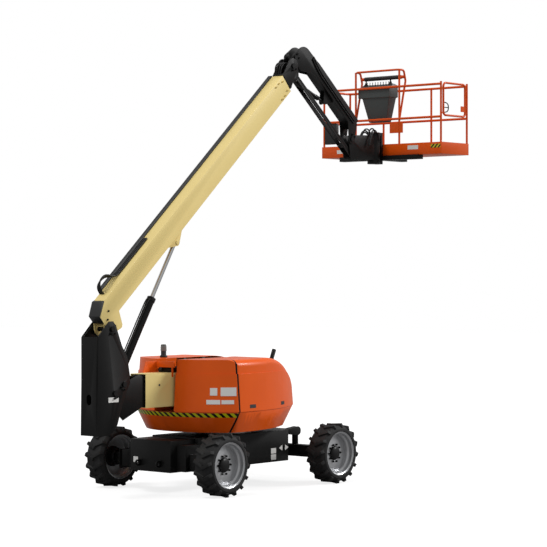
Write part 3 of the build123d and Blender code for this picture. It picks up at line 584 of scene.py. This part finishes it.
def keeper():
    """A pin's chamfered end with its keeper plate and two bolts, standing on the XY plane."""
    pin_radius, pin_out, chamfer, boss = 0.04, 0.012, 0.005, 0.004
    plate_size, plate_y = (0.1, 0.032, 0.008), -0.062
    bolt_across, bolt_height, bolt_apart = 0.022, 0.01, 0.068
    bpy.ops.object.select_all(action="DESELECT")
    end_middle = (0, 0, pin_out / 2)
    bpy.ops.mesh.primitive_cylinder_add(vertices=28, radius=pin_radius, depth=pin_out, location=end_middle)
    end = bpy.context.object
    settle(end)
    edit_faces(end, looks_up)
    bpy.ops.mesh.inset(thickness=chamfer)
    bpy.ops.mesh.extrude_region_move(TRANSFORM_OT_translate={"value": (0, 0, boss)})
    bpy.ops.object.mode_set(mode="OBJECT")
    bpy.ops.object.select_all(action="DESELECT")
    bpy.ops.mesh.primitive_cube_add(size=1, location=(0, plate_y, plate_size[2] / 2))
    plate = bpy.context.object
    plate.scale = plate_size
    bpy.ops.object.transform_apply(location=True, scale=True)
    shaped_by(plate, "corners", "BEVEL", width=0.003)
    bolts = []
    for side in (-1, 1):
        bolt = hexagon_nut(bolt_across, bolt_height)
        bolt.data.transform(Matrix.Translation(Vector((side * bolt_apart / 2, plate_y, plate_size[2]))))
        bolts.append(bolt)
    return joined([end, plate] + bolts)


pattern = keeper()
boom_angle, jib_angle = math.radians(41.5), math.radians(-40.25)


def on_boom(along, up, y=0):
    """A place by its distance along the main boom and above it, in millimetres from the boom's pin."""
    x = -2500 + along * math.cos(boom_angle) - up * math.sin(boom_angle)
    return at(x, y, 2370 + along * math.sin(boom_angle) + up * math.cos(boom_angle))


nose_pin = on_boom(5600, 320)
jib_pin = at(1560, 0, 6450)
jib_run = Vector((math.cos(jib_angle), 0, math.sin(jib_angle))) * 1.834
cylinder_foot = at(-2268, 0, 1590)
pins = (        # (name, middle, how far out the end lies, node that holds it, keeper's turn in degrees)
    ("boom_pin", at(-2500, 0, 2370), 0.1705, "upright", 0),
    ("tower_pin", at(-2450, 0, 1475), 0.1705, "upright", 20),
    ("cylinder_foot", cylinder_foot, 0.1685, "upright", -30),
    ("nose_pin", nose_pin, 0.1105, "fly_nose", 15),
    ("jib_pin", jib_pin, 0.0915, "knuckle", 120),
    ("head_pin", jib_pin + jib_run, 0.0915, "rotator_head", 150),
)
for name, place, reach, node, turn in pins:
    for side, word in ((-1, "near"), (1, "far")):
        end = copy_of(pattern)
        end.data.transform(Matrix.Rotation(math.radians(turn), 4, "Z"))
        end.data.transform(Matrix.Rotation(math.radians(-90 * side), 4, "X"))
        end.data.transform(Matrix.Translation(place + Vector((0, side * reach, 0))))
        finish_piece(end, f"{name}_end_{word}", black, body_of[node])
bpy.data.objects.remove(pattern)

# ---------------------------------------------------------------- hydraulic lines
# Rubber hoses, extruded over braid, clamped to the piece that they run on, so that they keep their
# curve and move with it as rigid pieces do.
hose_gloss = {"Base_Color": linear("#0E0E0E"), "Specular_IOR_Level": 0.35}
hose_rubber, hose_tree, hose_shader = new_material("extruded hose rubber", **hose_gloss)
wrap = add_node(hose_tree, "ShaderNodeTexNoise", inputs={"Scale": 1 / 0.006, "Detail": 2.0})
wrapped = {"Value": wrap.outputs["Fac"], "To Min": 0.4, "To Max": 0.6}
dull = add_node(hose_tree, "ShaderNodeMapRange", inputs=wrapped)
hose_tree.links.new(dull.outputs["Result"], hose_shader.inputs["Roughness"])


def line(name, points, radius, node):
    """A round line along a smooth curve through its points, made a mesh."""
    curve = bpy.data.curves.new(name, "CURVE")
    curve.dimensions = "3D"
    curve.bevel_depth = radius
    curve.bevel_resolution = 3
    curve.resolution_u = 8
    curve.use_fill_caps = True
    spline = curve.splines.new("NURBS")
    spline.points.add(len(points) - 1)
    for slot, point in zip(spline.points, points):
        slot.co = (*point, 1)
    spline.order_u = 3
    spline.use_endpoint_u = True
    holder = bpy.data.objects.new(name, curve)
    bpy.context.collection.objects.link(holder)
    select_only(holder)
    bpy.ops.object.convert(target="MESH")
    return finish_piece(bpy.context.object, name, hose_rubber, body_of[node], smooth=60)


foot_lines = ((20, 150), (52, 120), (84, 95))       # (distance from the middle, rise of the loop)
for i, (y, rise) in enumerate(foot_lines):
    loop = [(330, 350), (325, 400 + rise * 0.4), (400, 400 + rise), (540, 390 + rise)]
    loop += [(640, 400), (720, 371), (900, 371), (1500, 371)]
    line(f"boom_foot_line_{i}", [on_boom(along, up, y) for along, up in loop], 0.012, "main_boom")
for i, y in enumerate((-42, -10, 26, 58)):
    loop = [(5330, 350), (5380, 400 + 12 * i), (5480, 440 + 10 * i), (5560, 420), (5590, 340)]
    line(f"boom_tip_line_{i}", [on_boom(along, up, y) for along, up in loop], 0.011, "fly_nose")

cylinder_run = (on_boom(1880, -44) - cylinder_foot).normalized()
beside = Vector((-cylinder_run.z, 0, cylinder_run.x))
for i, (y, off) in enumerate(((-0.03, 0.072), (0.015, 0.078))):
    route = [(0.16, off - 0.012), (0.22, off), (0.7, off + 0.004)]
    route += [(1.2, off), (1.33, off - 0.004), (1.36, off - 0.02)]
    start = cylinder_foot + Vector((0, y, 0))
    points = [start + cylinder_run * along + beside * out for along, out in route]
    line(f"cylinder_line_{i}", points, 0.009, "main_lift_barrel")

head = at(3640, 0, 5200)
# Each of the head's lines has its distance from the middle and its bulge.
head_lines = ((-0.085, 0.05), (-0.1, 0.02), (0.085, 0.05), (0.1, 0.02), (-0.05, 0.08), (0.05, 0.08))
for i, (y, bulge) in enumerate(head_lines):
    route = [(-0.27, -0.02), (-0.22, 0.14 + bulge), (-0.08, 0.2 + bulge)]
    route += [(0.0, 0.16), (0.03, 0.02), (0.0, -0.14)]
    points = [head + Vector((x, y * (1 + abs(x)), z)) for x, z in route]
    line(f"head_line_{i}", points, 0.012, "rotator_head")


def on_jib(along, up, y):
    """A place by its distance along the jib and above it, in millimetres from the jib's pin."""
    x = along * math.cos(jib_angle) - up * math.sin(jib_angle)
    return jib_pin + Vector((x, y, along * math.sin(jib_angle) + up * math.cos(jib_angle))) / 1000


for i, up in enumerate((255, 215)):
    route = [(300, up + 60), (500, up), (900, up - 6), (1400, up - 4), (1700, up)]
    line(f"jib_line_{i}", [on_jib(along, rise, -101) for along, rise in route], 0.009, "jib_boom")

# ---------------------------------------------------------------- marks on the frame, upright and platform
# Printed vinyl, stuck on flat and left blank. Two white arrows on the chassis show which way it
# drives, and a striped patch marks the corner of the platform.
flat_labels = (         # (name, middle, facing, size, node)
    ("upright_label", at(-2475, -162.3, 1385), (0, -1, 0), (0.2, 0.07), "upright"),
    ("upright_label_far", at(-2475, 162.3, 1385), (0, 1, 0), (0.2, 0.07), "upright"),
    ("chassis_label_0", at(613, -450.3, 392), (0, -1, 0), (0.115, 0.082), "chassis_frame"),
    ("chassis_label_1", at(613, -450.3, 484), (0, -1, 0), (0.115, 0.082), "chassis_frame"),
    ("axle_label", at(-1570.3, 290, 470), (-1, 0, 0), (0.09, 0.08), "fixed_axle"),
    ("toe_label_near", at(3819.7, -656, 5150), (-1, 0, 0), (0.21, 0.065), "platform_floor"),
    ("toe_label_far", at(3819.7, 817, 5128), (-1, 0, 0), (0.17, 0.06), "platform_floor"),
)
for name, centre, facing, size, node in flat_labels:
    label(name, centre, facing, size, body_of[node])


def arrow(name, x, way):
    """A flat arrow with a short shaft, a triangle drawn out from its base, on the chassis's near side."""
    bpy.ops.object.select_all(action="DESELECT")
    head_radius, shaft_share, shaft_length, neck = 0.05, 0.42, 0.06, 0.0001
    bpy.ops.mesh.primitive_cylinder_add(vertices=3, radius=head_radius, depth=vinyl_thickness)
    piece = bpy.context.object
    edit_faces(piece, lambda face: face.normal.y < -0.9)
    bpy.ops.mesh.extrude_region_move(TRANSFORM_OT_translate={"value": (0, -neck, 0)})
    bpy.ops.transform.resize(value=(shaft_share, 1, 1))
    bpy.ops.mesh.extrude_region_move(TRANSFORM_OT_translate={"value": (0, -shaft_length, 0)})
    bpy.ops.object.mode_set(mode="OBJECT")
    piece.data.transform(Matrix.Rotation(math.radians(-90 * way), 4, "Z"))
    turned_on_y(piece)
    settle(piece, at(x, -451.2, 518))
    return finish_piece(piece, name, vinyl, body_of["chassis_frame"])


arrow("arrow_ahead", 905, 1)
arrow("arrow_back", 790, -1)

hazard_vinyl, tree, shader = new_material("striped vinyl", Roughness=0.45)
place = add_node(tree, "ShaderNodeTexCoord").outputs["Object"]
axes = add_node(tree, "ShaderNodeSeparateXYZ", inputs={"Vector": place}).outputs
patch_pitch = 0.07
slant = add_node(tree, "ShaderNodeMath", {"operation": "ADD"}, {0: axes["Y"], 1: axes["Z"]}).outputs[0]
turns = add_node(tree, "ShaderNodeMath", {"operation": "DIVIDE"}, {0: slant, 1: patch_pitch}).outputs[0]
part = add_node(tree, "ShaderNodeMath", {"operation": "FRACT"}, {0: turns}).outputs[0]
is_black = add_node(tree, "ShaderNodeMath", {"operation": "GREATER_THAN"}, {0: part, 1: 0.5}).outputs[0]
colour = add_node(tree, "ShaderNodeMix", {"data_type": "RGBA"}, {"Factor": is_black})
colour.inputs["A"].default_value = linear("#C4B414")
colour.inputs["B"].default_value = linear(stripe_black)
tree.links.new(colour.outputs["Result"], shader.inputs["Base Color"])
toe_corner = at(3819.7, -1105, 5160)
label("toe_hazard", toe_corner, (-1, 0, 0), (0.19, 0.06), body_of["platform_floor"], finish=hazard_vinyl)

# ---------------------------------------------------------------- console controls and padding
# Toggle switches in a row, two joysticks with rubber boots, and a foam sleeve on the bar above them.
console_low, console_high = (Vector(v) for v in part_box("console"))


def turned_part(name, profile, where, material, node, axis="Z"):
    """A turned shape: a rim of (radius, height) steps, drawn up from a circle and closed at the top."""
    bpy.ops.object.select_all(action="DESELECT")
    bpy.ops.mesh.primitive_circle_add(vertices=20, radius=profile[0][0], fill_type="NGON", location=(0, 0, 0))
    piece = bpy.context.object
    bpy.ops.object.mode_set(mode="EDIT")
    bpy.ops.mesh.select_all(action="SELECT")
    for (r0, z0), (r1, z1) in zip(profile, profile[1:]):
        bpy.ops.mesh.extrude_region_move(TRANSFORM_OT_translate={"value": (0, 0, z1 - z0)})
        bpy.ops.transform.resize(value=(r1 / r0, r1 / r0, 1))
    bpy.ops.mesh.select_all(action="SELECT")
    bpy.ops.mesh.normals_make_consistent(inside=False)
    bpy.ops.object.mode_set(mode="OBJECT")
    if axis == "Y":
        turned_on_y(piece)
    settle(piece, where)
    return finish_piece(piece, name, material, body_of[node])


controls_z = console_high.z - 0.03
toggle_count, toggle_pitch = 9, 0.055
toggle = [(0.012, 0), (0.012, 0.025), (0.006, 0.03), (0.005, 0.055), (0.008, 0.06), (0.006, 0.068)]
for i in range(toggle_count):
    toggle_at = (console_low.x + 0.12, console_low.y + 0.1 + toggle_pitch * i, controls_z)
    turned_part(f"toggle_{i}", toggle, toggle_at, dark_plastic, "console")
boot = [(0.035, 0), (0.038, 0.03), (0.02, 0.045), (0.024, 0.055), (0.011, 0.07)]
knob = [(0.011, 0.1), (0.022, 0.115), (0.024, 0.135), (0.012, 0.15)]
for i, y in enumerate((console_low.y + 0.07, console_high.y - 0.07)):
    turned_part(f"joystick_{i}", boot + knob, (console_low.x + 0.13, y, controls_z), dark_plastic, "console")
sleeve = [(0.026, 0), (0.034, 0.006), (0.034, 0.74), (0.026, 0.746)]
turned_part("padding_sleeve", sleeve, at(3989, 448, 6312), dark_plastic, "platform_rails", axis="Y")

# ---------------------------------------------------------------- tower boom's end
# A rubber plug pressed into the side plate, and an open tray on top, pressed from steel and enamelled
# black, with the round plastic end of the hoses' conduit beside it.
plug = [(0.016, 0), (0.016, 0.003), (0.009, 0.006)]
turned_part("side_plug", plug, at(-1540, -150.2, 1550), dark_plastic, "tower_base_boom", axis="Y")

bpy.ops.object.select_all(action="DESELECT")
bpy.ops.mesh.primitive_cube_add(size=1)
tray = bpy.context.object
tray_size, tray_wall, tray_depth = (0.5, 0.27, 0.07), 0.012, 0.04
tray.data.transform(Matrix.Diagonal((*tray_size, 1)))
settle(tray, at(-1000, 0, 1752))
edit_faces(tray, looks_up)
bpy.ops.mesh.inset(thickness=tray_wall)
bpy.ops.mesh.extrude_region_move(TRANSFORM_OT_translate={"value": (0, 0, -tray_depth)})
bpy.ops.object.mode_set(mode="OBJECT")
finish_piece(tray, "hose_tray", cast, body_of["tower_base_boom"])
conduit_end = [(0.034, 0), (0.034, 0.02), (0.026, 0.024), (0.026, 0.034), (0.014, 0.036)]
fitting = turned_part("round_fitting", conduit_end, (0, 0, 0), dark_plastic, "tower_base_boom")
fitting.data.transform(Matrix.Translation(at(-1250, 100, 1752)) @ Matrix.Rotation(math.radians(-90), 4, "Y"))

# ---------------------------------------------------------------- studs of the main boom
# Hexagon-headed steel studs through both side plates: six near the mouth hold the wear pads and are
# sprayed with the boom, and three at the foot stay black.
stud_reach = 103
mouth_studs = ((5060, 90), (5060, 320), (5150, 90), (5150, 320), (5240, 120), (5240, 290))
foot_studs = ((60, 120), (150, 200), (110, -40))
stud_pattern = hexagon_nut(0.028, 0.012)
for i, (along, up) in enumerate(mouth_studs + foot_studs):
    for side, word in ((-1, "near"), (1, "far")):
        stud = copy_of(stud_pattern)
        stud.data.transform(Matrix.Rotation(math.radians(-90 * side), 4, "X"))
        stud.data.transform(Matrix.Translation(on_boom(along, up, side * stud_reach)))
        paint = cream if (along, up) in mouth_studs else black
        finish_piece(stud, f"boom_stud_{i}_{word}", paint, body_of["main_boom"])
bpy.data.objects.remove(stud_pattern)

# ---------------------------------------------------------------- beacon lens and gate handle
# A smoked, ribbed lens, moulded and screwed down on the beacon's base. The gate has a black grip at its
# latch, bent from rod in a rubber sleeve, and a bar across it.
lens_plastic = moulded_plastic("smoked lens", "#6F7270", rough=0.3)
beacon_middle, beacon_top = middle("beacon"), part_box("beacon")[1][2]
lens = [(0.044, 0), (0.047, 0.02), (0.044, 0.03), (0.047, 0.045)]
lens += [(0.043, 0.06), (0.044, 0.075), (0.036, 0.092), (0.016, 0.098)]
lens_drop = 0.095
lens_at = (beacon_middle.x, beacon_middle.y, beacon_top - lens_drop)
turned_part("beacon_lens", lens, lens_at, lens_plastic, "beacon")
gate_low = Vector(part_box("platform_gate")[0])
gate_face = gate_low + Vector((0, 0.017, 0))
grip = [(0.02, 0.0, 0.06), (0.1, -0.018, 0.06), (0.135, -0.02, 0.14), (0.1, -0.018, 0.22), (0.02, 0.0, 0.22)]
line("gate_grip", [gate_face + Vector(point) for point in grip], 0.009, "platform_gate")
bar = [(0.017, 0, 0.14), (0.08, 0, 0.14), (0.15, 0, 0.14)]
line("gate_bar", [gate_face + Vector(point) for point in bar], 0.008, "platform_gate")

# ---------------------------------------------------------------- latches and vents of the covers
# Each hood door has two black paddle latches along its lower edge, and the far one has slots that let the
# engine breathe. All are moulded plastic, pressed into the cover.
latch_places = ((-520, 1040), (330, 900))       # (along the machine, out from its middle)
latch_size, vent_size = (0.13, 0.05), (0.045, 0.22)
for side, sign in (("near", -1), ("far", 1)):
    door = "hood_door_" + side
    for i, (x, out) in enumerate(latch_places):
        latch_at = at(x, sign * out, 1235)
        facing = (0.15 * (i + 1), sign, 0)
        label(f"latch_{side}_{i}", latch_at, facing, latch_size, body_of[door], panels[door], dark_plastic)
vent_count, vent_pitch, first_vent = 7, 95, -330
side_out, drawn_in = 985, 8     # how far out the first vent is, and how much less each next one
far_door = "hood_door_far"
for i in range(vent_count):
    vent_at = at(first_vent + vent_pitch * i, side_out - drawn_in * i, 1480)
    label(f"vent_{i}", vent_at, (0.12, 1, 0), vent_size, body_of[far_door], panels[far_door], dark_plastic)

# ---------------------------------------------------------------- floor, light and camera
# A plain pale floor that runs out to white and keeps the machine's shadow, soft light from the right
# and from above, and a long lens that stands about 30 m off.
floor_reach = 60
floor_drop = 0.001
floor_glow = 0.8
bpy.ops.mesh.primitive_plane_add(size=2 * floor_reach, location=(0, 0, -floor_drop))
floor = bpy.context.object
floor.name = "floor"
floor_finish = {"Roughness": 0.9, "Specular_IOR_Level": 0.1, "Base_Color": linear("#8C8C8C")}
floor_material, tree, shader = new_material("pale studio floor", **floor_finish)
seen = add_node(tree, "ShaderNodeLightPath").outputs["Is Camera Ray"]
lift = add_node(tree, "ShaderNodeMath", {"operation": "MULTIPLY"}, {0: seen, 1: floor_glow})
glow = add_node(tree, "ShaderNodeEmission", inputs={"Strength": lift.outputs[0]})
both = add_node(tree, "ShaderNodeAddShader", inputs={0: shader.outputs["BSDF"], 1: glow.outputs["Emission"]})
tree.links.new(both.outputs["Shader"], tree.nodes["Material Output"].inputs["Surface"])
floor.data.materials.append(floor_material)

# The sky is white to the camera, and lights the machine at half of that.
world = bpy.data.worlds.new("studio")
world.use_nodes = True
bpy.context.scene.world = world
tree = world.node_tree
rays = add_node(tree, "ShaderNodeLightPath").outputs
seen_rays = {0: rays["Is Camera Ray"], 1: rays["Is Transmission Ray"]}
direct = add_node(tree, "ShaderNodeMath", {"operation": "MAXIMUM"}, seen_rays)
sky_light, white = 0.5, 1.0
levels = {"Value": direct.outputs[0], "To Min": sky_light, "To Max": white}
level = add_node(tree, "ShaderNodeMapRange", inputs=levels)
backdrop = tree.nodes["Background"]
backdrop.inputs["Color"].default_value = (1, 1, 1, 1)
tree.links.new(level.outputs["Result"], backdrop.inputs["Strength"])


def soft_sun(name, strength, spread, toward):
    """A distant lamp that shines along a direction."""
    lamp = bpy.data.lights.new(name, "SUN")
    lamp.energy = strength
    lamp.angle = math.radians(spread)
    holder = bpy.data.objects.new(name, lamp)
    holder.rotation_euler = Vector(toward).to_track_quat("-Z", "Y").to_euler()
    bpy.context.collection.objects.link(holder)


soft_sun("key", 2.1, 14, (-0.75, 0.6, -0.6))
soft_sun("top", 1.6, 20, (0.45, -0.14, -0.88))

camera_data = bpy.data.cameras.new("camera")
camera_data.sensor_width = 36       # mm
camera_data.lens = 135.64           # mm
camera_data.clip_end = 500
view_tilt, view_round = 89.8, 40.41 - 90
camera = bpy.data.objects.new("camera", camera_data)
camera.location = (-23.7075, -20.40, 3.24)
camera.rotation_euler = (math.radians(view_tilt), 0, math.radians(view_round))
bpy.context.collection.objects.link(camera)
bpy.context.scene.camera = camera
bpy.context.scene.view_settings.view_transform = "Standard"
